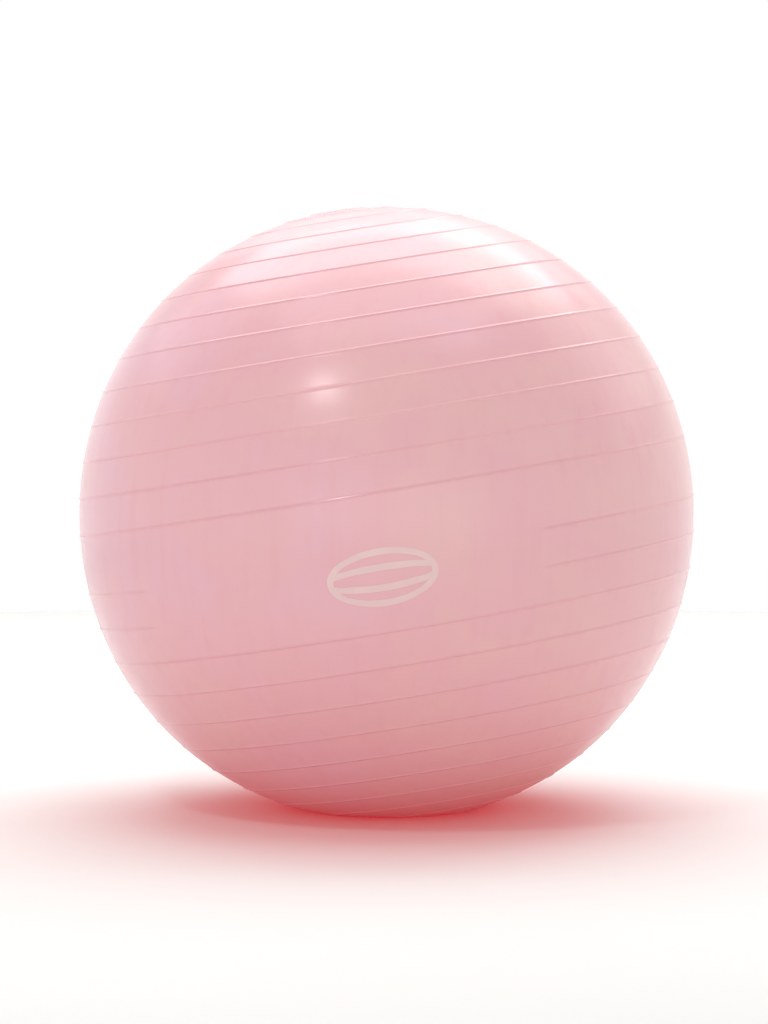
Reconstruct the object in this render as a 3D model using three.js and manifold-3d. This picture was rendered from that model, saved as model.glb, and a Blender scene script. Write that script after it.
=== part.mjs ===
// Exercise ball: a hollow soft-vinyl skin with raised grip ribs, its moulded valve sleeve, the plug that
// closes the valve, and the printed mark on the front. Millimetres, +Z up. The origin is the middle of the
// flat patch that the ball rests on, and the front, with the plain panel and the mark, faces -Y.

import * as THREE from 'three';
import { mergeVertices } from 'three/addons/utils/BufferGeometryUtils.js';
import Module from 'manifold-3d';

const wasm = await Module();
wasm.setup();

const degrees = Math.PI / 180;

// The inflated ball and how it stands
const ballRadius = 325;
const wallThickness = 0.9;
const patchRadius = 95; // the ball's weight presses a flat patch of this radius on the floor
const leanLeft = 9.34 * degrees; // the axis of the ribs leans to -X and a little to +Y
const leanBack = 2.32 * degrees;
const facetsAround = 40;

// Grip ribs: rings on both sides of a plain middle band
const ribsPerSide = 12;
const firstRibLatitude = 5.57 * degrees;
const ribSpacing = 6.76 * degrees;
const ribHeight = 1;
const ribWidth = 3.6;
const capRingLatitude = 85 * degrees;

// Plain panel on the front, where the first two lower ribs stop
const ribsThatStop = 2;
const panelStart = -51.5 * degrees;
const panelEnd = 28.5 * degrees;

// Printed mark: an oval ring crossed by two curved bars
const markWidth = 120;
const markHeight = 62;
const markBand = 7;
const markBarEndOffset = 5; // of a bar's middle line from the mark's own, at the ring and half way along
const markBarMiddleOffset = 11;
const markLatitude = -9.1 * degrees;
const markLongitude = -2.2 * degrees;
const inkThickness = 0.15;
const inkGap = 0.35;
const ovalSegments = 24;

// Valve, on the back of the plain band: distances along its axis are from the ball's centre
const padRadius = 25;
const padDepth = ballRadius - 3.8;
const sleeveGap = 0.3;
const sleeveFaceDepth = ballRadius + 0.2;
const sleeveNeckRadius = 15;
const sleeveFlangeRadius = 22;
const sleeveFlangeThickness = 1.8;
const sleeveTubeRadius = 6.5;
const sleeveTubeLength = 20;
const seatRadius = 9;
const seatDepth = 2;
const boreRadius = 3.8;
const edgeRound = 0.5;

const plugHeadRadius = 8.6;
const plugHeadThickness = 2;
const plugShankRadius = 3.3;
const plugTipRadius = 2.4;
const plugShankLength = 28;
const plugBarbRadius = 3.5;
const plugBarbSpacing = 6;
const plugBarbs = 3;
const turnedSegments = 32;

const cutLength = 60; // reach of the cylinders that cut through the skin
const farBeyond = 2 * ballRadius;

const centreHeight = Math.sqrt(ballRadius ** 2 - patchRadius ** 2);

const ball = new THREE.Group();
ball.position.set(0, 0, centreHeight);
ball.rotation.set(-leanBack, -leanLeft, 0);
ball.updateMatrixWorld();

// Booleans: a closed three.js geometry as a solid, and a solid as a geometry again

function solidOf(geometry) {
  geometry.deleteAttribute('normal');
  geometry.deleteAttribute('uv');
  const merged = mergeVertices(geometry);
  const corners = merged.index.array;
  const triangles = [];
  for (let i = 0; i < corners.length; i += 3) {
    const [a, b, c] = [corners[i], corners[i + 1], corners[i + 2]];
    const hasArea = a !== b && b !== c && c !== a;
    if (hasArea) triangles.push(a, b, c);
  }
  return new wasm.Manifold(new wasm.Mesh({
    numProp: 3,
    vertProperties: new Float32Array(merged.attributes.position.array),
    triVerts: new Uint32Array(triangles),
  }));
}

function geometryOf(solid) {
  const mesh = solid.getMesh();
  const geometry = new THREE.BufferGeometry();
  geometry.setAttribute('position', new THREE.BufferAttribute(mesh.vertProperties, 3));
  geometry.setIndex(new THREE.BufferAttribute(mesh.triVerts, 1));
  geometry.computeVertexNormals();
  return geometry;
}

// The ball's surfaces, turned about the ball's own Z axis; longitude 0 is the front, at -Y

const ribLatitudes = [];
for (let i = 0; i < ribsPerSide; i += 1) {
  const latitude = firstRibLatitude + i * ribSpacing;
  ribLatitudes.push({ latitude, stops: false });
  ribLatitudes.push({ latitude: -latitude, stops: i < ribsThatStop });
}

function sortedRings(rings) {
  const ends = [
    { latitude: -Math.PI / 2 },
    { latitude: -capRingLatitude },
    { latitude: 0 },
    { latitude: capRingLatitude },
    { latitude: Math.PI / 2 },
  ];
  return [...ends, ...rings].sort((a, b) => a.latitude - b.latitude);
}

function turnedBall(radius, rings) {
  const profile = rings.map(({ latitude }) => (
    new THREE.Vector2(radius * Math.cos(latitude), radius * Math.sin(latitude))
  ));
  return new THREE.LatheGeometry(profile, facetsAround).rotateX(Math.PI / 2);
}

function plainBall(radius) {
  return turnedBall(radius, sortedRings(ribLatitudes));
}

function isInPanel(longitude) {
  const centred = longitude > Math.PI ? longitude - 2 * Math.PI : longitude;
  return centred > panelStart && centred < panelEnd;
}

function ribbedBall() {
  const halfWidth = ribWidth / 2 / ballRadius;
  const rings = sortedRings(ribLatitudes.flatMap(({ latitude, stops }) => [
    { latitude: latitude - halfWidth },
    { latitude, isCrest: true, stops },
    { latitude: latitude + halfWidth },
  ]));
  const geometry = turnedBall(ballRadius, rings);
  const position = geometry.attributes.position;
  const point = new THREE.Vector3();
  for (let i = 0; i < position.count; i += 1) {
    const ring = rings[i % rings.length];
    const longitude = 2 * Math.PI * Math.floor(i / rings.length) / facetsAround;
    const isRaised = ring.isCrest && !(ring.stops && isInPanel(longitude));
    if (isRaised) {
      point.fromBufferAttribute(position, i).setLength(ballRadius + ribHeight);
      position.setXYZ(i, point.x, point.y, point.z);
    }
  }
  return geometry;
}

// Everything below a given height over the floor, in the ball's own turned frame
function spaceBelow(height) {
  const block = new THREE.BoxGeometry(farBeyond, farBeyond, farBeyond);
  block.translate(0, 0, height - farBeyond / 2);
  return block.applyMatrix4(ball.matrixWorld.clone().invert());
}

function valveCylinder(radius, fromDepth) {
  const cylinder = new THREE.CylinderGeometry(radius, radius, cutLength, turnedSegments);
  return cylinder.translate(0, fromDepth + cutLength / 2, 0);
}

function makeSkin() {
  const outside = solidOf(ribbedBall()).subtract(solidOf(spaceBelow(0)));
  const chamber = solidOf(plainBall(ballRadius - wallThickness))
    .subtract(solidOf(spaceBelow(wallThickness)))
    .subtract(solidOf(valveCylinder(padRadius, padDepth)));
  const valveHole = solidOf(valveCylinder(sleeveNeckRadius + sleeveGap, padDepth - cutLength / 2));
  return geometryOf(outside.subtract(chamber).subtract(valveHole));
}

// The valve sleeve and its plug are turned about the ball's Y axis

function turned(points) {
  const profile = points.map(([radius, depth]) => new THREE.Vector2(radius, depth));
  return new THREE.LatheGeometry(profile, turnedSegments);
}

function makeValveSleeve() {
  const flangeTop = padDepth - sleeveGap;
  const flangeBottom = flangeTop - sleeveFlangeThickness;
  const tubeEnd = flangeBottom - sleeveTubeLength;
  const seat = sleeveFaceDepth - seatDepth;
  return turned([
    [boreRadius, tubeEnd],
    [sleeveTubeRadius - edgeRound, tubeEnd],
    [sleeveTubeRadius, tubeEnd + edgeRound],
    [sleeveTubeRadius, flangeBottom],
    [sleeveFlangeRadius, flangeBottom],
    [sleeveFlangeRadius, flangeTop],
    [sleeveNeckRadius, flangeTop],
    [sleeveNeckRadius, sleeveFaceDepth - edgeRound],
    [sleeveNeckRadius - edgeRound, sleeveFaceDepth],
    [seatRadius, sleeveFaceDepth],
    [seatRadius, seat],
    [boreRadius, seat],
    [boreRadius, tubeEnd],
  ]);
}

function makePlug() {
  const headBottom = sleeveFaceDepth - seatDepth + sleeveGap;
  const headTop = headBottom + plugHeadThickness;
  const tip = headBottom - plugShankLength;
  const shankRadiusAt = (depth) => (
    THREE.MathUtils.mapLinear(depth, tip, headBottom, plugTipRadius, plugShankRadius)
  );
  const profile = [
    [0, tip],
    [plugTipRadius - edgeRound, tip],
    [plugTipRadius, tip + edgeRound],
  ];
  for (let i = plugBarbs; i > 0; i -= 1) {
    const barbDepth = headBottom - i * plugBarbSpacing;
    profile.push([shankRadiusAt(barbDepth - edgeRound), barbDepth - edgeRound]);
    profile.push([plugBarbRadius, barbDepth]);
    profile.push([shankRadiusAt(barbDepth + edgeRound), barbDepth + edgeRound]);
  }
  profile.push(
    [plugShankRadius, headBottom],
    [plugHeadRadius, headBottom],
    [plugHeadRadius, headTop - edgeRound],
    [plugHeadRadius - edgeRound, headTop],
    [0, headTop],
  );
  return turned(profile);
}

// The mark is cut from a film just outside the skin by upright walls along the line to its middle

function uprightWalls(shape) {
  const walls = new THREE.ExtrudeGeometry(shape, {
    depth: cutLength,
    bevelEnabled: false,
    curveSegments: ovalSegments,
  });
  walls.translate(0, 0, ballRadius - cutLength / 2);
  walls.rotateX(Math.PI / 2 - markLatitude);
  return walls.rotateZ(markLongitude);
}

function oval(width, height) {
  return new THREE.Shape().absellipse(0, 0, width / 2, height / 2, 0, 2 * Math.PI);
}

// side is 1 for the bar above the mark's middle line, and -1 for the one below it
function curvedBar(side) {
  const end = markWidth / 2;
  const top = side * markBarEndOffset + markBand / 2;
  const bottom = side * markBarEndOffset - markBand / 2;
  const bow = 2 * side * (markBarMiddleOffset - markBarEndOffset);
  return new THREE.Shape()
    .moveTo(-end, bottom)
    .quadraticCurveTo(0, bottom + bow, end, bottom)
    .lineTo(end, top)
    .quadraticCurveTo(0, top + bow, -end, top)
    .closePath();
}

function makePrintedMark() {
  const film = solidOf(plainBall(ballRadius + inkGap + inkThickness))
    .subtract(solidOf(plainBall(ballRadius + inkGap)));
  const whole = solidOf(uprightWalls(oval(markWidth, markHeight)));
  const opening = solidOf(uprightWalls(oval(markWidth - 2 * markBand, markHeight - 2 * markBand)));
  const upperBar = solidOf(uprightWalls(curvedBar(1))).intersect(whole);
  const lowerBar = solidOf(uprightWalls(curvedBar(-1))).intersect(whole);
  const outline = whole.subtract(opening).add(upperBar).add(lowerBar);
  return geometryOf(film.intersect(outline));
}

function addPart(name, geometry, look) {
  const mesh = new THREE.Mesh(geometry, new THREE.MeshStandardMaterial({ metalness: 0, ...look }));
  mesh.name = name;
  ball.add(mesh);
}

addPart('skin', makeSkin(), { color: '#e6b0b6', roughness: 0.32 });
addPart('printed_mark', makePrintedMark(), { color: '#e4c8c5', roughness: 0.5 });
addPart('valve_sleeve', makeValveSleeve(), { color: '#dd9ea6', roughness: 0.4 });
addPart('plug', makePlug(), { color: '#f1efeb', roughness: 0.38 });

export default ball;
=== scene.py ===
import math

import bmesh
import bpy
from mathutils import Matrix, Vector, noise


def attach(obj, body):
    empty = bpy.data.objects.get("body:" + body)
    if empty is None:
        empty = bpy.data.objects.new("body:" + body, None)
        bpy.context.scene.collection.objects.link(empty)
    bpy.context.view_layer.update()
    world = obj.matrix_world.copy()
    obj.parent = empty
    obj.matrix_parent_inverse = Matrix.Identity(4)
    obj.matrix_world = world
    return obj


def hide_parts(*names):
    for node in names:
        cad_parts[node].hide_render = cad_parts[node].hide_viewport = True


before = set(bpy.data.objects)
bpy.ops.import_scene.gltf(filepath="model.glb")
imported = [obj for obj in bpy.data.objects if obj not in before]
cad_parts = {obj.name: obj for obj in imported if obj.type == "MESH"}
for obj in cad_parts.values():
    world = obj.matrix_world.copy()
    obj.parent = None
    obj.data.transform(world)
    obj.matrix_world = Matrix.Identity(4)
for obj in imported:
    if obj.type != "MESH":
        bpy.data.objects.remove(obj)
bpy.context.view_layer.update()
print("frame loaded:", ", ".join(sorted(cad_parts)))

ball = {
    "radius": 0.325,           # between the ribs
    "wall": 0.0009,
    "patchRadius": 0.095,      # of the part that the ball's weight presses flat
    "patchSoftness": 0.0012,   # how gently the skin leaves the floor
    "leanLeft": 9.34,          # degrees, of the axis that the ribs run around
    "leanBack": 2.32,
    "segments": 240,
    "innerSegments": 96,
    "outOfRound": 0.0010,      # from the front: in at the top, foot and sides, out between them
    "unevenness": 0.00025,
    "unevennessScale": 3.1,    # noise cells to one radius
    "unevennessPlace": (4.2, 1.7, 9.3),
}
mergeDistance = 0.000005
smoothAngle = math.radians(35)
ribs = {
    "perSide": 12,
    "first": 5.57,             # degrees of latitude
    "spacing": 6.76,
    "capRing": 85,             # degrees, of the last small ring around each pole
    "height": 0.00070,
    "halfWidth": 0.0023,
    "rowsEachSide": 4,
    "rowsBetween": 4,
    "sag": 0.00004,            # how much flatter than a sphere the skin lies between two ribs
    "stopping": 2,             # how many below the middle band stop at the front panel
    "panelStart": -51.5,       # degrees of longitude, 0 at the front
    "panelEnd": 28.5,
    "taper": 1.4,              # degrees, of a stopping rib's end
}
centreHeight = math.sqrt(ball["radius"] ** 2 - ball["patchRadius"] ** 2)
lean = (Matrix.Rotation(math.radians(-ball["leanBack"]), 4, "X")
        @ Matrix.Rotation(math.radians(-ball["leanLeft"]), 4, "Y"))
ballPlace = Matrix.Translation((0, 0, centreHeight)) @ lean


def deselectAll():
    if bpy.context.object and bpy.context.object.mode != "OBJECT":
        bpy.ops.object.mode_set(mode="OBJECT")
    bpy.ops.object.select_all(action="DESELECT")


def edit(obj):
    deselectAll()
    obj.select_set(True)
    bpy.context.view_layer.objects.active = obj
    bpy.ops.object.mode_set(mode="EDIT")


def selectFaces(obj, test):
    bpy.ops.mesh.select_mode(type="FACE")
    bpy.ops.mesh.select_all(action="DESELECT")
    mesh = bmesh.from_edit_mesh(obj.data)
    for f in mesh.faces:
        f.select = bool(test(f.calc_center_median()))
    mesh.select_flush_mode()
    bmesh.update_edit_mesh(obj.data)


def drawProfile(name, points):
    # one vertex, extruded from point to point
    deselectAll()
    bpy.ops.mesh.primitive_plane_add(size=0.001)
    obj = bpy.context.object
    obj.name = name
    obj.data.name = name
    bpy.ops.object.mode_set(mode="EDIT")
    bpy.ops.mesh.select_mode(type="VERT")
    bpy.ops.mesh.select_all(action="SELECT")
    bpy.ops.mesh.merge(type="CENTER")
    bpy.ops.transform.translate(value=points[0])
    for a, b in zip(points, points[1:]):
        bpy.ops.mesh.extrude_region_move(TRANSFORM_OT_translate={"value": Vector(b) - Vector(a)})
    return obj


def spinProfile(name, points, steps, axis):
    obj = drawProfile(name, points)
    bpy.ops.mesh.select_all(action="SELECT")
    bpy.ops.mesh.spin(steps=steps, angle=2 * math.pi, center=(0, 0, 0), axis=axis)
    bpy.ops.mesh.select_all(action="SELECT")
    bpy.ops.mesh.remove_doubles(threshold=mergeDistance)
    bpy.ops.mesh.normals_make_consistent(inside=False)
    bpy.ops.object.mode_set(mode="OBJECT")
    return obj


def displaceByWeight(obj, amounts, direction):
    # amounts are in metres, one for each vertex, painted as a weight and applied by a Displace modifier
    negligible = 1e-9
    lowest = min(amounts)
    highest = max(amounts)
    group = obj.vertex_groups.new(name="push")
    for i, amount in enumerate(amounts):
        group.add([i], (amount - lowest) / (highest - lowest), "REPLACE")
    for shift, name in ((highest - lowest, group.name), (lowest, "")):
        if abs(shift) < negligible:
            continue
        modifier = obj.modifiers.new("Push", "DISPLACE")
        modifier.direction = direction
        modifier.mid_level = 0
        modifier.strength = shift
        modifier.vertex_group = name
    deselectAll()
    bpy.context.view_layer.objects.active = obj
    for modifier in list(obj.modifiers):
        bpy.ops.object.modifier_apply(modifier=modifier.name)
    obj.vertex_groups.clear()


def applyPlace(obj, place):
    deselectAll()
    obj.matrix_world = place
    obj.select_set(True)
    bpy.context.view_layer.objects.active = obj
    bpy.ops.object.transform_apply(location=True, rotation=True, scale=True)


def smoothShade(obj):
    deselectAll()
    obj.select_set(True)
    bpy.context.view_layer.objects.active = obj
    bpy.ops.object.shade_smooth()


def latitudeOf(point):
    return math.asin(max(-1, min(1, point.z / point.length)))


def longitudeOf(point):
    return math.degrees(math.atan2(point.x, -point.y))


ribLatitudes = []
for i in range(ribs["perSide"]):
    ribLatitude = math.radians(ribs["first"] + i * ribs["spacing"])
    ribLatitudes += [ribLatitude, -ribLatitude]
ribLatitudes += [math.radians(ribs["capRing"]), -math.radians(ribs["capRing"])]
ribLatitudes.sort()
stoppingLatitudes = [-math.radians(ribs["first"] + i * ribs["spacing"]) for i in range(ribs["stopping"])]


def skinLatitudes():
    # rows across every rib and just beside it, and wider rows between the ribs and over the poles
    half = ribs["halfWidth"] / ball["radius"]
    side = ribs["rowsEachSide"]
    rows = []
    for latitude in ribLatitudes:
        rows += [latitude + half * k / side for k in range(-side - 1, side + 2)]
    edges = [-math.pi / 2] + rows + [math.pi / 2]
    widest = math.radians(ribs["spacing"]) / ribs["rowsBetween"]
    filled = [edges[0]]
    for a, b in zip(edges, edges[1:]):
        count = max(1, round((b - a) / widest))
        filled += [a + (b - a) * k / count for k in range(1, count + 1)]
    return filled


def panelShare(longitude):
    # 1 in the plain panel, 0 outside it, with a short taper at both ends
    fromStart = (longitude - ribs["panelStart"]) / ribs["taper"]
    fromEnd = (ribs["panelEnd"] - longitude) / ribs["taper"]
    return max(0, min(1, min(fromStart, fromEnd) + 0.5))


def ribShare(point):
    # 1 on the crest of a rib, falling to 0 at its foot
    latitude = latitudeOf(point)
    nearest = min(ribLatitudes, key=lambda rib: abs(rib - latitude))
    away = abs(latitude - nearest) * ball["radius"] / ribs["halfWidth"]
    if away >= 1:
        return 0.0
    stands = 1 - panelShare(longitudeOf(point)) if nearest in stoppingLatitudes else 1
    return (0.5 + 0.5 * math.cos(math.pi * away)) * stands


def slowShapeAt(point):
    # how far the whole wall, inside and out, departs from a sphere
    way = point.normalized()
    world = lean.to_3x3() @ way
    squareness = world.x ** 4 + world.z ** 4 - 0.75 * (world.x ** 2 + world.z ** 2) ** 2
    unevenness = noise.noise(way * ball["unevennessScale"] + Vector(ball["unevennessPlace"]))
    return ball["unevenness"] * unevenness - ball["outOfRound"] * 4 * squareness


def reliefAt(point):
    # how far the skin stands out from the sphere: ribs out, the skin between two ribs in
    latitude = latitudeOf(point)
    longitude = longitudeOf(point)
    relief = ribs["height"] * ribShare(point)
    if abs(latitude) < ribLatitudes[-1]:
        below = max(rib for rib in ribLatitudes if rib <= latitude)
        above = min(rib for rib in ribLatitudes if rib > latitude)
        along = (latitude - below) / (above - below)
        besideStopping = below in stoppingLatitudes or above in stoppingLatitudes
        inPanel = panelShare(longitude) if besideStopping else 0
        relief -= ribs["sag"] * 4 * along * (1 - along) * (1 - inPanel)
    return relief + slowShapeAt(point)


def makeOuterSurface():
    radius = ball["radius"]
    points = [(0, -radius * math.cos(a), radius * math.sin(a)) for a in skinLatitudes()]
    skin = spinProfile("skin_vinyl_shell", points, ball["segments"], (0, 0, 1))
    displaceByWeight(skin, [reliefAt(v.co) for v in skin.data.vertices], "NORMAL")
    return skin


# the valve is on the back of the plain band; each outline is a row of
# (radius, distance from the ball's centre), in millimetres
valve = {
    "clearRadius": 0.024,      # metres, of skin taken away around the opening
    "segments": 72,
    "rim": [(20.6, 324.45), (19.9, 324.75), (19.2, 325.25), (18.2, 325.5), (16.6, 325.5), (15.8, 325.35),
            (15.35, 324.9), (15.3, 324.2), (15.3, 321.3), (15.6, 321.0), (24.4, 321.0), (25.2, 321.5)],
    "innerClearRadius": 0.030,
    "sleeve": [(3.8, 297.3), (6.0, 297.3), (6.4, 297.6), (6.5, 298.2), (6.5, 317.6), (6.9, 318.6),
               (7.9, 318.9), (21.5, 318.9), (22.0, 319.3), (22.0, 320.3), (21.6, 320.7), (15.3, 320.7),
               (15.0, 321.0), (15.0, 324.6), (14.8, 325.0), (14.4, 325.2), (12.9, 325.2), (12.7, 324.95),
               (12.1, 324.95), (11.9, 325.2), (9.5, 325.2), (9.15, 325.05), (9.0, 324.7), (9.0, 323.2),
               (8.7, 323.15), (4.4, 323.15), (3.9, 322.8), (3.8, 322.2)],
    "plug": [(0, 295.5), (1.7, 295.5), (2.2, 295.8), (2.45, 296.5), (2.85, 304.8), (3.5, 305.5),
             (2.9, 306.4), (3.0, 310.8), (3.5, 311.5), (3.05, 312.4), (3.15, 316.8), (3.5, 317.5),
             (3.2, 318.4), (3.3, 323.0), (3.5, 323.5), (8.2, 323.5), (8.5, 323.7), (8.6, 324.1),
             (8.6, 324.8), (8.4, 325.2), (7.9, 325.4), (6.6, 325.5), (6.4, 325.3), (5.9, 325.3),
             (5.7, 325.5), (2.2, 325.6), (1.8, 325.2), (0, 325.1)],
}
mark = {
    "width": 0.120,
    "height": 0.062,
    "band": 0.007,
    "barEndOffset": 0.005,     # of a bar's middle line, at the ring and half way along
    "barMiddleOffset": 0.011,
    "latitude": -9.1,
    "longitude": -2.2,
    "ink": 0.00012,            # how thick it lies
    "gap": 0.0001,             # between the skin and the ink
    "startsAbove": 0.02,       # how far off the skin it is drawn before it is wrapped on
    "cell": 0.004,
    "points": 64,
    "endPoints": 8,            # along the ring, between the two bars
    "weld": 0.00001,
    "halvings": 40,
}


def loopStep(point, last):
    # from the last opening loop to the next, about the valve's own axis
    scale = point[0] / last[0]
    bpy.ops.mesh.extrude_region_move()
    bpy.ops.transform.resize(value=(scale, 1, scale), center_override=(0, 0, 0))
    bpy.ops.transform.translate(value=(0, (point[1] - last[1]) / 1000, 0))


def clearRound(obj, radius):
    edit(obj)
    selectFaces(obj, lambda p: p.y > 0 and math.hypot(p.x, p.z) < radius)
    bpy.ops.mesh.delete(type="FACE")
    bpy.ops.mesh.select_mode(type="VERT")


def selectOpenLoops(wire):
    bpy.ops.mesh.select_mode(type="EDGE")
    bpy.ops.mesh.select_all(action="DESELECT")
    bpy.ops.mesh.select_non_manifold(
        extend=False, use_wire=wire, use_boundary=True, use_multi_face=False,
        use_non_contiguous=False, use_verts=False)


def openForValve(obj):
    # cut the skin back, bridge it to a circle, and draw the moulded rim inwards from there
    clearRound(obj, valve["clearRadius"])
    selectOpenLoops(wire=False)
    bpy.ops.transform.tosphere(value=1)
    first = valve["rim"][0]
    bpy.ops.mesh.primitive_circle_add(
        vertices=valve["segments"], radius=first[0] / 1000, location=(0, first[1] / 1000, 0),
        rotation=(math.pi / 2, 0, 0))
    selectOpenLoops(wire=True)
    bpy.ops.mesh.bridge_edge_loops()
    selectOpenLoops(wire=False)
    last = first
    for point in valve["rim"][1:]:
        loopStep(point, last)
        last = point


def makeInnerSurface():
    radius = ball["radius"] - ball["wall"]
    steps = ball["innerSegments"] // 2
    angles = [math.pi * (k / steps - 0.5) for k in range(steps + 1)]
    points = [(0, -radius * math.cos(a), radius * math.sin(a)) for a in angles]
    inner = spinProfile("inner", points, ball["innerSegments"], (0, 0, 1))
    displaceByWeight(inner, [slowShapeAt(v.co) for v in inner.data.vertices], "NORMAL")
    clearRound(inner, valve["innerClearRadius"])
    bpy.ops.mesh.select_all(action="SELECT")
    bpy.ops.mesh.flip_normals()
    bpy.ops.object.mode_set(mode="OBJECT")
    return inner


def pressOnFloor(obj, rest):
    # the skin meets the floor and leaves it in a soft curve; rest is the height where the surface ends up
    soft = ball["patchSoftness"]
    lifts = []
    for v in obj.data.vertices:
        above = (v.co.z - rest) / soft
        lifts.append(soft * math.log1p(math.exp(-abs(above))) + max(0, -above) * soft)
    displaceByWeight(obj, lifts, "Z")


def markRibs(skin):
    # the vinyl is thicker in a rib, which its material shows; the same darker rib colour is also painted
    # shade along each rib's lower flank
    back = ballPlace.inverted()
    shares = []
    for v in skin.data.vertices:
        local = back @ v.co
        middle = ball["radius"] + slowShapeAt(local) - ball["wall"] / 2
        outside = local.length > middle or v.co.z < ball["wall"] / 2
        shares.append(ribShare(local) if outside else 0.0)
    attribute = skin.data.attributes.new("ribShare", "FLOAT", "POINT")
    attribute.data.foreach_set("value", shares)


def makeSkin():
    skin = makeOuterSurface()
    openForValve(skin)
    applyPlace(skin, ballPlace)
    pressOnFloor(skin, 0)
    inner = makeInnerSurface()
    applyPlace(inner, ballPlace)
    pressOnFloor(inner, ball["wall"])
    deselectAll()
    inner.select_set(True)
    skin.select_set(True)
    bpy.context.view_layer.objects.active = skin
    bpy.ops.object.join()
    edit(skin)
    selectOpenLoops(wire=False)
    bpy.ops.mesh.bridge_edge_loops()
    bpy.ops.object.mode_set(mode="OBJECT")
    smoothShade(skin)
    markRibs(skin)
    return skin


def makeTurned(name, profile):
    # a piece turned about the valve's axis, from (radius, distance) in millimetres
    points = [(radius / 1000, distance / 1000, 0) for radius, distance in profile]
    if points[0][0] > 0:
        points.append(points[0])
    piece = spinProfile(name, points, valve["segments"], (0, 1, 0))
    applyPlace(piece, ballPlace)
    deselectAll()
    piece.select_set(True)
    bpy.context.view_layer.objects.active = piece
    bpy.ops.object.shade_smooth_by_angle(angle=smoothAngle)
    return piece


def ovalPoints(width, height, fromAngle, toAngle, count):
    angles = [fromAngle + (toAngle - fromAngle) * k / count for k in range(count + 1)]
    return [(width / 2 * math.cos(a), height / 2 * math.sin(a)) for a in angles]


def barEdge(side, offset, halfLength, count):
    # a bowed line from the ring's left to its right
    points = []
    for k in range(count + 1):
        x = -halfLength + 2 * halfLength * k / count
        bow = (mark["barMiddleOffset"] - mark["barEndOffset"]) * (1 - (2 * x / mark["width"]) ** 2)
        points.append((x, side * (mark["barEndOffset"] + bow) + offset))
    return points


def whereBarMeetsRing(side, offset):
    # half the length of a bar's edge inside the ring, found by halving
    width = mark["width"] / 2 - mark["band"]
    height = mark["height"] / 2 - mark["band"]
    low = 0.0
    high = width
    for halving in range(mark["halvings"]):
        x = (low + high) / 2
        y = barEdge(side, offset, x, 1)[0][1]
        inside = (x / width) ** 2 + (y / height) ** 2 < 1
        low, high = (x, high) if inside else (low, x)
    return low


def markOutlines():
    # the outer oval, and the three openings that the ring and its two bars leave
    count = mark["points"]
    width = mark["width"] - 2 * mark["band"]
    height = mark["height"] - 2 * mark["band"]
    outlines = [ovalPoints(mark["width"], mark["height"], 0, 2 * math.pi, 2 * count)[:-1]]
    half = mark["band"] / 2
    for side in (1, -1):
        reach = whereBarMeetsRing(side, side * half)
        edgeLine = barEdge(side, side * half, reach, count)
        end = math.atan2(abs(edgeLine[0][1]) / (height / 2), reach / (width / 2))
        arc = ovalPoints(width, height, side * end, side * (math.pi - end), count)
        outlines.append(edgeLine + arc[1:-1])
    reach = whereBarMeetsRing(1, -half)
    upper = barEdge(1, -half, reach, count)
    lower = barEdge(-1, half, reach, count)
    end = math.atan2(upper[0][1] / (height / 2), reach / (width / 2))
    rightArc = ovalPoints(width, height, end, -end, mark["endPoints"])
    leftArc = ovalPoints(width, height, math.pi + end, math.pi - end, mark["endPoints"])
    outlines.append(upper + rightArc[1:-1] + lower[::-1] + leftArc[1:-1])
    return outlines


def makeMark(skin):
    flat = bpy.data.curves.new("printed_mark_film", "CURVE")
    flat.dimensions = "2D"
    flat.fill_mode = "BOTH"
    for outline in markOutlines():
        spline = flat.splines.new("POLY")
        spline.points.add(len(outline) - 1)
        for point, (x, y) in zip(spline.points, outline):
            point.co = (x, y, 0, 1)
        spline.use_cyclic_u = True
    film = bpy.data.objects.new("printed_mark_film", flat)
    bpy.context.collection.objects.link(film)
    deselectAll()
    film.select_set(True)
    bpy.context.view_layer.objects.active = film
    bpy.ops.object.convert(target="MESH")
    film = bpy.context.object
    bpy.ops.object.mode_set(mode="EDIT")
    bpy.ops.mesh.select_all(action="SELECT")
    bpy.ops.mesh.remove_doubles(threshold=mark["weld"])
    for normal, size in (((1, 0, 0), mark["width"]), ((0, 1, 0), mark["height"])):
        count = math.ceil(size / mark["cell"])
        for k in range(1, count):
            bpy.ops.mesh.select_all(action="SELECT")
            bpy.ops.mesh.bisect(plane_co=[c * (k / count - 0.5) * size for c in normal], plane_no=normal)
    bpy.ops.object.mode_set(mode="OBJECT")
    facing = (Matrix.Rotation(math.radians(mark["longitude"]), 4, "Z")
              @ Matrix.Rotation(math.radians(90 - mark["latitude"]), 4, "X")
              @ Matrix.Translation((0, 0, ball["radius"] + mark["startsAbove"])))
    applyPlace(film, ballPlace @ facing)
    wrap = film.modifiers.new("Wrap", "SHRINKWRAP")
    wrap.target = skin
    wrap.wrap_method = "NEAREST_SURFACEPOINT"
    wrap.wrap_mode = "ABOVE_SURFACE"
    wrap.offset = mark["gap"]
    thick = film.modifiers.new("Ink", "SOLIDIFY")
    thick.thickness = mark["ink"]
    thick.offset = 1
    bpy.ops.object.modifier_apply(modifier=wrap.name)
    bpy.ops.object.modifier_apply(modifier=thick.name)
    bpy.ops.object.shade_smooth_by_angle(angle=smoothAngle)
    return film


skin = makeSkin()
print("skin made:", len(skin.data.polygons), "faces")
sleeve = makeTurned("valve_sleeve_turned", valve["sleeve"])
plug = makeTurned("valve_plug_turned", valve["plug"])
print("valve made")
film = makeMark(skin)
print("mark made:", len(film.data.polygons), "faces")


def newMaterial(name):
    material = bpy.data.materials.new(name)
    material.use_nodes = True
    return material, material.node_tree.nodes, material.node_tree.links


def node(nodes, kind, **values):
    made = nodes.new(kind)
    for name, value in values.items():
        setattr(made, name, value)
    return made


def setInputs(made, **values):
    for name, value in values.items():
        made.inputs[name].default_value = value


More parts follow.
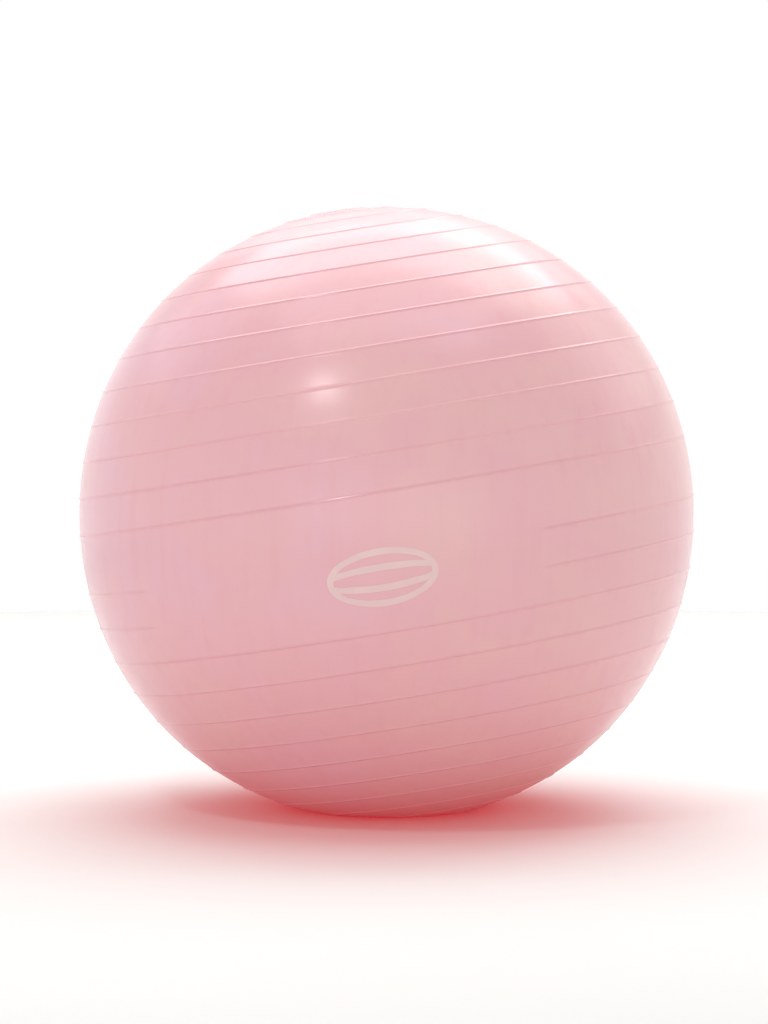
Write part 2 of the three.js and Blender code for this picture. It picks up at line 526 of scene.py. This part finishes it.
mottleSettings = {
    "patchDetail": 3.0,
    "patchRoughness": 0.55,
    "patchDistortion": 0.4,
    "patchRange": (0.32, 0.68),
    "grainDetail": 4.0,
    "grainRoughness": 0.6,
    "streakDetail": 2.0,
    "streakWidth": 0.012,
}


def makeMottleGroup():
    # slow and fine variation over moulded vinyl: masks for patches, grain and streaks, and a height for bumps
    group = bpy.data.node_groups.new("mouldedMottle", "ShaderNodeTree")
    for name, kind in (("Patch Size", "NodeSocketFloat"), ("Grain Size", "NodeSocketFloat"),
                       ("Streak Length", "NodeSocketFloat")):
        group.interface.new_socket(name, in_out="INPUT", socket_type=kind)
    for name in ("Patches", "Grain", "Streaks", "Height"):
        group.interface.new_socket(name, in_out="OUTPUT", socket_type="NodeSocketFloat")
    nodes, links = group.nodes, group.links
    given = node(nodes, "NodeGroupInput")
    result = node(nodes, "NodeGroupOutput")
    place = node(nodes, "ShaderNodeTexCoord")
    patchScale = node(nodes, "ShaderNodeMath", operation="DIVIDE")
    setInputs(patchScale, **{"Value": 1.0})
    links.new(given.outputs["Patch Size"], patchScale.inputs[1])
    grainScale = node(nodes, "ShaderNodeMath", operation="DIVIDE")
    setInputs(grainScale, **{"Value": 1.0})
    links.new(given.outputs["Grain Size"], grainScale.inputs[1])
    patches = node(nodes, "ShaderNodeTexNoise")
    setInputs(patches, Detail=mottleSettings["patchDetail"], Roughness=mottleSettings["patchRoughness"],
              Distortion=mottleSettings["patchDistortion"])
    links.new(place.outputs["Object"], patches.inputs["Vector"])
    links.new(patchScale.outputs[0], patches.inputs["Scale"])
    low, high = mottleSettings["patchRange"]
    spread = node(nodes, "ShaderNodeMapRange")
    setInputs(spread, **{"From Min": low, "From Max": high})
    links.new(patches.outputs["Fac"], spread.inputs["Value"])
    grain = node(nodes, "ShaderNodeTexNoise")
    setInputs(grain, Detail=mottleSettings["grainDetail"], Roughness=mottleSettings["grainRoughness"])
    links.new(place.outputs["Object"], grain.inputs["Vector"])
    links.new(grainScale.outputs[0], grain.inputs["Scale"])
    stretch = node(nodes, "ShaderNodeVectorMath", operation="DIVIDE")
    room = node(nodes, "ShaderNodeCombineXYZ")
    setInputs(room, X=mottleSettings["streakWidth"], Y=mottleSettings["streakWidth"])
    links.new(given.outputs["Streak Length"], room.inputs["Z"])
    links.new(place.outputs["Object"], stretch.inputs[0])
    links.new(room.outputs[0], stretch.inputs[1])
    streaks = node(nodes, "ShaderNodeTexNoise")
    setInputs(streaks, Scale=1.0, Detail=mottleSettings["streakDetail"])
    links.new(stretch.outputs[0], streaks.inputs["Vector"])
    links.new(spread.outputs["Result"], result.inputs["Patches"])
    links.new(grain.outputs["Fac"], result.inputs["Grain"])
    links.new(streaks.outputs["Fac"], result.inputs["Streaks"])
    links.new(grain.outputs["Fac"], result.inputs["Height"])
    return group


mottleGroup = makeMottleGroup()


def addMottle(nodes, patchSize, grainSize, streakLength):
    mottle = node(nodes, "ShaderNodeGroup", node_tree=mottleGroup)
    setInputs(mottle, **{"Patch Size": patchSize, "Grain Size": grainSize, "Streak Length": streakLength})
    return mottle


def mixColour(nodes, links, factor, first, second):
    # first and second are colours or outputs; factor is an output or a number
    mix = node(nodes, "ShaderNodeMix", data_type="RGBA")
    for socket, value in ((mix.inputs[0], factor), (mix.inputs[6], first), (mix.inputs[7], second)):
        if isinstance(value, bpy.types.NodeSocket):
            links.new(value, socket)
        else:
            socket.default_value = value
    return mix.outputs[2]


def mapped(nodes, links, value, fromMin, fromMax, toMin, toMax):
    change = node(nodes, "ShaderNodeMapRange")
    setInputs(change, **{"From Min": fromMin, "From Max": fromMax, "To Min": toMin, "To Max": toMax})
    links.new(value, change.inputs["Value"])
    return change.outputs["Result"]


def addBump(nodes, links, height, strength, distance):
    bump = node(nodes, "ShaderNodeBump")
    setInputs(bump, Strength=strength, Distance=distance)
    links.new(height, bump.inputs["Height"])
    return bump.outputs["Normal"]


vinyl = {
    "pink": (0.762, 0.425, 0.452, 1),
    "lilac": (0.758, 0.428, 0.486, 1),
    "peach": (0.767, 0.452, 0.448, 1),
    "deep": (0.747, 0.392, 0.422, 1),
    # rib: darker for the thicker vinyl, and as painted shade of a rib's lower flank
    "rib": (0.705, 0.345, 0.372, 1),
    "pip": (0.900, 0.700, 0.700, 1),
    "ior": 1.5,
    "roughness": (0.20, 0.265),
    "patchSize": 0.11,
    "grainSize": 0.0018,
    "streakLength": 0.16,
    "sideShift": 0.35,                  # how strongly lilac keeps to one side and peach to the other
    "peachRange": (0.55, 1.15),
    "lilacRange": (0.45, -0.10),
    "streakRange": (0.50, 0.78),
    "streakShare": 0.5,
    "ribRange": (0.0, 0.6),
    "ribDepthAndShade": 0.4,
    "pipScale": 18.0,
    "pipRange": (0.018, 0.008),
    "pipRarity": 0.55,
    "bumpStrength": 0.3,
    "bump": 0.00004,
    "through": (0.82, 0.33, 0.37, 1),   # the share of light that one surface of the wall lets by
}


def makeVinyl():
    material, nodes, links = newMaterial("satin_pink_vinyl")
    shader = nodes["Principled BSDF"]
    output = nodes["Material Output"]
    setInputs(shader, IOR=vinyl["ior"])
    place = node(nodes, "ShaderNodeTexCoord")
    mottle = addMottle(nodes, vinyl["patchSize"], vinyl["grainSize"], vinyl["streakLength"])
    # lilac on one side and peach on the other, in soft patches
    parts = node(nodes, "ShaderNodeSeparateXYZ")
    links.new(place.outputs["Object"], parts.inputs[0])
    shift = vinyl["sideShift"]
    side = mapped(nodes, links, parts.outputs["X"], -ball["radius"], ball["radius"], -shift, shift)
    warmth = node(nodes, "ShaderNodeMath", operation="ADD")
    links.new(side, warmth.inputs[0])
    links.new(mottle.outputs["Patches"], warmth.inputs[1])
    toPeach = mapped(nodes, links, warmth.outputs[0], *vinyl["peachRange"], 0, 1)
    toLilac = mapped(nodes, links, warmth.outputs[0], *vinyl["lilacRange"], 0, 1)
    colour = mixColour(nodes, links, toPeach, vinyl["pink"], vinyl["peach"])
    colour = mixColour(nodes, links, toLilac, colour, vinyl["lilac"])
    streak = mapped(nodes, links, mottle.outputs["Streaks"], *vinyl["streakRange"], 0, vinyl["streakShare"])
    colour = mixColour(nodes, links, streak, colour, vinyl["deep"])
    # thicker vinyl in the ribs, and painted shade along each rib's lower flank: one darker colour for both
    rib = node(nodes, "ShaderNodeAttribute", attribute_name="ribShare")
    ribThicknessAndShade = mapped(nodes, links, rib.outputs["Fac"], *vinyl["ribRange"], 0, vinyl["ribDepthAndShade"])
    colour = mixColour(nodes, links, ribThicknessAndShade, colour, vinyl["rib"])
    # a few tiny pale pips
    cells = node(nodes, "ShaderNodeTexVoronoi")
    setInputs(cells, Scale=vinyl["pipScale"])
    links.new(place.outputs["Object"], cells.inputs["Vector"])
    pip = mapped(nodes, links, cells.outputs["Distance"], *vinyl["pipRange"], 0, 1)
    chance = node(nodes, "ShaderNodeSeparateColor")
    links.new(cells.outputs["Color"], chance.inputs[0])
    few = node(nodes, "ShaderNodeMath", operation="GREATER_THAN")
    few.inputs[1].default_value = vinyl["pipRarity"]
    links.new(chance.outputs[0], few.inputs[0])
    pips = node(nodes, "ShaderNodeMath", operation="MULTIPLY")
    links.new(pip, pips.inputs[0])
    links.new(few.outputs[0], pips.inputs[1])
    colour = mixColour(nodes, links, pips.outputs[0], colour, vinyl["pip"])
    links.new(colour, shader.inputs["Base Color"])
    roughness = mapped(nodes, links, mottle.outputs["Patches"], 0, 1, *vinyl["roughness"])
    links.new(roughness, shader.inputs["Roughness"])
    normal = addBump(nodes, links, mottle.outputs["Height"], vinyl["bumpStrength"], vinyl["bump"])
    links.new(normal, shader.inputs["Normal"])
    # a coloured shadow: light reaches the floor through the thin pink walls
    lets = node(nodes, "ShaderNodeBsdfTransparent")
    setInputs(lets, Color=vinyl["through"])
    path = node(nodes, "ShaderNodeLightPath")
    mix = node(nodes, "ShaderNodeMixShader")
    links.new(path.outputs["Is Camera Ray"], mix.inputs["Fac"])
    links.new(lets.outputs["BSDF"], mix.inputs[1])
    links.new(shader.outputs["BSDF"], mix.inputs[2])
    links.new(mix.outputs["Shader"], output.inputs["Surface"])
    return material


smoothSettings = {
    "speckleRange": (0.56, 0.74),
    "glossRange": (0.3, 0.7),
    "bumpStrength": 0.4,
}


def makeSmooth(name, settings):
    # a smaller piece of vinyl or ink: two close colours, uneven gloss, a fine grain
    material, nodes, links = newMaterial(name)
    shader = nodes["Principled BSDF"]
    setInputs(shader, IOR=settings["ior"])
    mottle = addMottle(nodes, settings["patchSize"], settings["grainSize"], settings["streakLength"])
    first, second = settings["colours"]
    colour = mixColour(nodes, links, mottle.outputs["Patches"], first, second)
    speckles = mapped(
        nodes, links, mottle.outputs["Grain"], *smoothSettings["speckleRange"], 0, settings["speckle"])
    colour = mixColour(nodes, links, speckles, colour, settings["speckleColour"])
    links.new(colour, shader.inputs["Base Color"])
    roughness = mapped(
        nodes, links, mottle.outputs["Grain"], *smoothSettings["glossRange"], *settings["roughness"])
    links.new(roughness, shader.inputs["Roughness"])
    normal = addBump(
        nodes, links, mottle.outputs["Height"], smoothSettings["bumpStrength"], settings["bump"])
    links.new(normal, shader.inputs["Normal"])
    return material


def give(obj, material):
    obj.data.materials.clear()
    obj.data.materials.append(material)


ink = {
    "ior": 1.45,
    "colours": ((0.765, 0.560, 0.545, 1), (0.735, 0.525, 0.515, 1)),
    "speckle": 0.5,
    "speckleColour": (0.745, 0.480, 0.480, 1),
    "roughness": (0.36, 0.48),
    "patchSize": 0.020,
    "grainSize": 0.0012,
    "streakLength": 0.05,
    "bump": 0.00006,
}
sleeveVinyl = {
    "ior": 1.47,
    "colours": ((0.700, 0.330, 0.370, 1), (0.650, 0.285, 0.325, 1)),
    "speckle": 0.3,
    "speckleColour": (0.760, 0.480, 0.500, 1),
    "roughness": (0.32, 0.48),
    "patchSize": 0.012,
    "grainSize": 0.0007,
    "streakLength": 0.02,
    "bump": 0.00008,
}
plugVinyl = {
    "ior": 1.47,
    "colours": ((0.830, 0.815, 0.780, 1), (0.780, 0.760, 0.720, 1)),
    "speckle": 0.35,
    "speckleColour": (0.700, 0.660, 0.620, 1),
    "roughness": (0.30, 0.46),
    "patchSize": 0.009,
    "grainSize": 0.0006,
    "streakLength": 0.01,
    "bump": 0.00006,
}
give(skin, makeVinyl())
give(film, makeSmooth("mark_ink", ink))
give(sleeve, makeSmooth("valve_vinyl", sleeveVinyl))
give(plug, makeSmooth("plug_vinyl", plugVinyl))
print("materials made")

studio = {
    "floor": ((0.920, 0.912, 0.893, 1), (0.905, 0.897, 0.878, 1)),
    "floorRadius": 2.3,
    "floorSides": 128,
    "floorRoughness": 0.9,
    "floorMottle": (0.5, 0.02, 0.3),    # patch size, grain size, streak length
    "horizon": 1.17,                    # how bright the surroundings are all round, low down
    "overhead": 0.37,                   # and high up
    "horizonRange": (0.10, 0.65),       # of the direction's height, from the one to the other
    "backdrop": (1, 1, 1, 1),           # what the camera sees beyond the floor
    "cameraDistance": 14 * ball["radius"],
    "cameraElevation": 4,               # degrees
    "lens": 151.3,
    "sensor": 36,
    "ballRight": 0.0025390625,          # how far the ball stands right of the view's middle, in view heights
    "ballBelow": 0.001953125,
}
centre = Vector((0, 0, centreHeight))


def makeFloor():
    deselectAll()
    bpy.ops.mesh.primitive_circle_add(
        vertices=studio["floorSides"], radius=studio["floorRadius"], fill_type="NGON")
    floor = bpy.context.object
    floor.name = "studio_floor"
    material, nodes, links = newMaterial("floor_white")
    shader = nodes["Principled BSDF"]
    setInputs(shader, Roughness=studio["floorRoughness"])
    mottle = addMottle(nodes, *studio["floorMottle"])
    colour = mixColour(nodes, links, mottle.outputs["Patches"], *studio["floor"])
    links.new(colour, shader.inputs["Base Color"])
    give(floor, material)


def makeWorld():
    world = bpy.data.worlds.new("studio")
    bpy.context.scene.world = world
    world.use_nodes = True
    nodes, links = world.node_tree.nodes, world.node_tree.links
    place = node(nodes, "ShaderNodeTexCoord")
    parts = node(nodes, "ShaderNodeSeparateXYZ")
    links.new(place.outputs["Generated"], parts.inputs[0])
    path = node(nodes, "ShaderNodeLightPath")
    around = mapped(
        nodes, links, parts.outputs["Z"], *studio["horizonRange"], studio["horizon"], studio["overhead"])
    colour = mixColour(nodes, links, path.outputs["Is Camera Ray"], around, studio["backdrop"])
    links.new(colour, nodes["Background"].inputs["Color"])


def areaLight(name, direction, distance, size, radiance):
    # direction is (degrees round from behind the ball, + to its right; degrees above the horizon)
    across = math.radians(direction[0])
    up = math.radians(direction[1])
    way = Vector((math.sin(across) * math.cos(up), math.cos(across) * math.cos(up), math.sin(up)))
    lamp = bpy.data.lights.new(name, "AREA")
    lamp.shape = "RECTANGLE"
    lamp.size, lamp.size_y = size
    lamp.energy = radiance * math.pi * size[0] * size[1]
    obj = bpy.data.objects.new(name, lamp)
    obj.location = centre + way * distance
    obj.rotation_euler = (-way).to_track_quat("-Z", "Y").to_euler()
    bpy.context.collection.objects.link(obj)


makeFloor()
makeWorld()
areaLight("ceiling_softbox", (6, 61), 2.6, (3.4, 1.6), 2.3)
areaLight("wide_softbox", (8, 40), 2.8, (2.6, 1.4), 0.9)
areaLight("top_softbox", (0, 88), 2.5, (2.6, 2.2), 1.3)
areaLight("left_softbox", (-56, 42), 2.7, (1.5, 1.6), 0.6)
areaLight("right_softbox", (62, 34), 2.7, (1.5, 1.6), 0.7)
areaLight("back_strip", (24, 43), 2.3, (1.1, 0.32), 2.0)
areaLight("front_spot", (-151, 46), 2.4, (0.32, 0.22), 28.0)
areaLight("front_fill", (180, 6), 5.5, (7.0, 1.6), 0.55)

camera = bpy.data.cameras.new("camera")
camera.lens = studio["lens"]
camera.sensor_width = studio["sensor"]
camera.shift_x = -studio["ballRight"]
camera.shift_y = studio["ballBelow"]
eye = bpy.data.objects.new("camera", camera)
tilt = math.radians(studio["cameraElevation"])
eye.location = centre + Vector((0, -math.cos(tilt), math.sin(tilt))) * studio["cameraDistance"]
eye.rotation_euler = (math.pi / 2 - tilt, 0, 0)
bpy.context.collection.objects.link(eye)
bpy.context.scene.camera = eye
bpy.context.scene.view_settings.view_transform = "Standard"
print("studio made")

for piece, solid, body, slot in (
        (skin, "skin", "ball", "skin_vinyl"),
        (film, "printed_mark", "ball", "mark_ink"),
        (sleeve, "valve_sleeve", "ball", "valve_vinyl"),
        (plug, "plug", "plug", "plug_vinyl")):
    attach(piece, body)
    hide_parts(solid)
print("pieces placed on their bodies")
